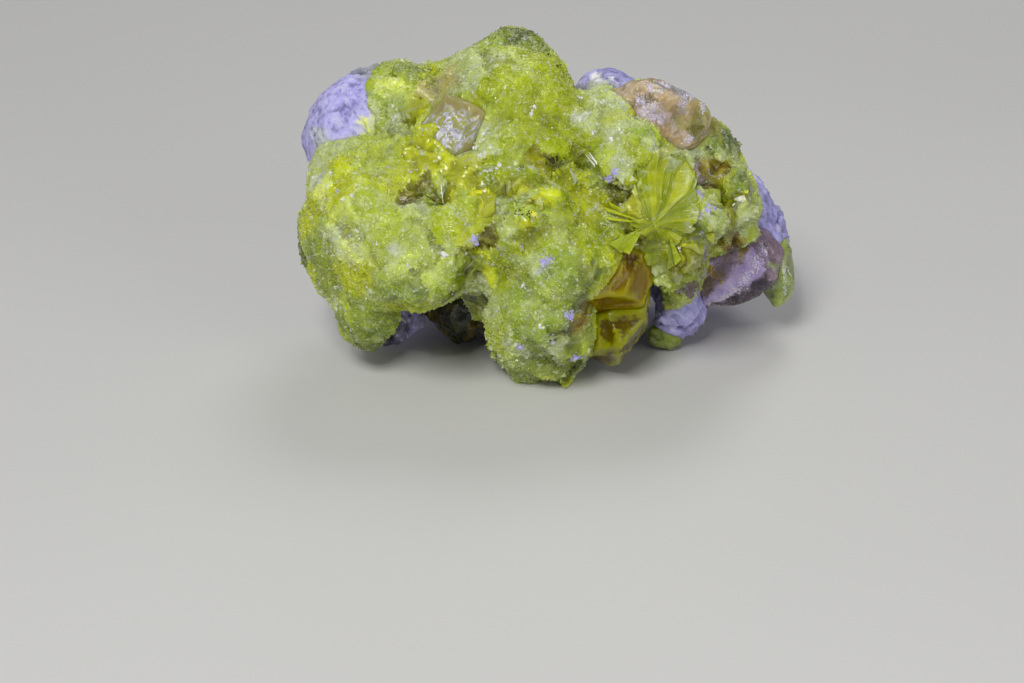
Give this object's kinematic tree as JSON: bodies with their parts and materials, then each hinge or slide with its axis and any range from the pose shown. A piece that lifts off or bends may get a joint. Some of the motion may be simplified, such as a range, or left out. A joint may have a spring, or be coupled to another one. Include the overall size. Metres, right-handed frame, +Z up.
{
  "type": "jouravskite crystal",
  "caption": "Sugary yellow jouravskite crystal mass on a chalky lilac-white matrix, with clear amber crystals set in it; rests on a shelf.",
  "frame": {"origin": "middle of the bounding box, at the surface that the specimen stands on", "axes": "+Z up, +X to the specimen's right along its longest extent, -Y to the front that carries most of the crystals"},
  "size_m": [0.0374, 0.0258, 0.0241],
  "materials": {
    "jouravskite": "sugary, sparkling, slightly see-through",
    "chalk": "matt, chalky, wrinkled",
    "amber": "clear, glassy, flat faces",
    "window": "glassy, streaked with pale veils",
    "orange": "frosty, granular",
    "pink": "granular, slightly see-through",
    "brown": "glassy, dark",
    "green": "glassy, streaked with white"
  },
  "bodies": {
    "root": {"jouravskite_mass": "jouravskite", "chalky_matrix": "chalk", "amber_crystal_upper": "amber", "amber_crystal_lower": "amber", "window_crystal": "window", "orange_grain": "orange", "pink_grain": "pink", "cave_grain": "brown", "end_crystal": "green", "foot_crystal": "green"}
  },
  "joints": []
}
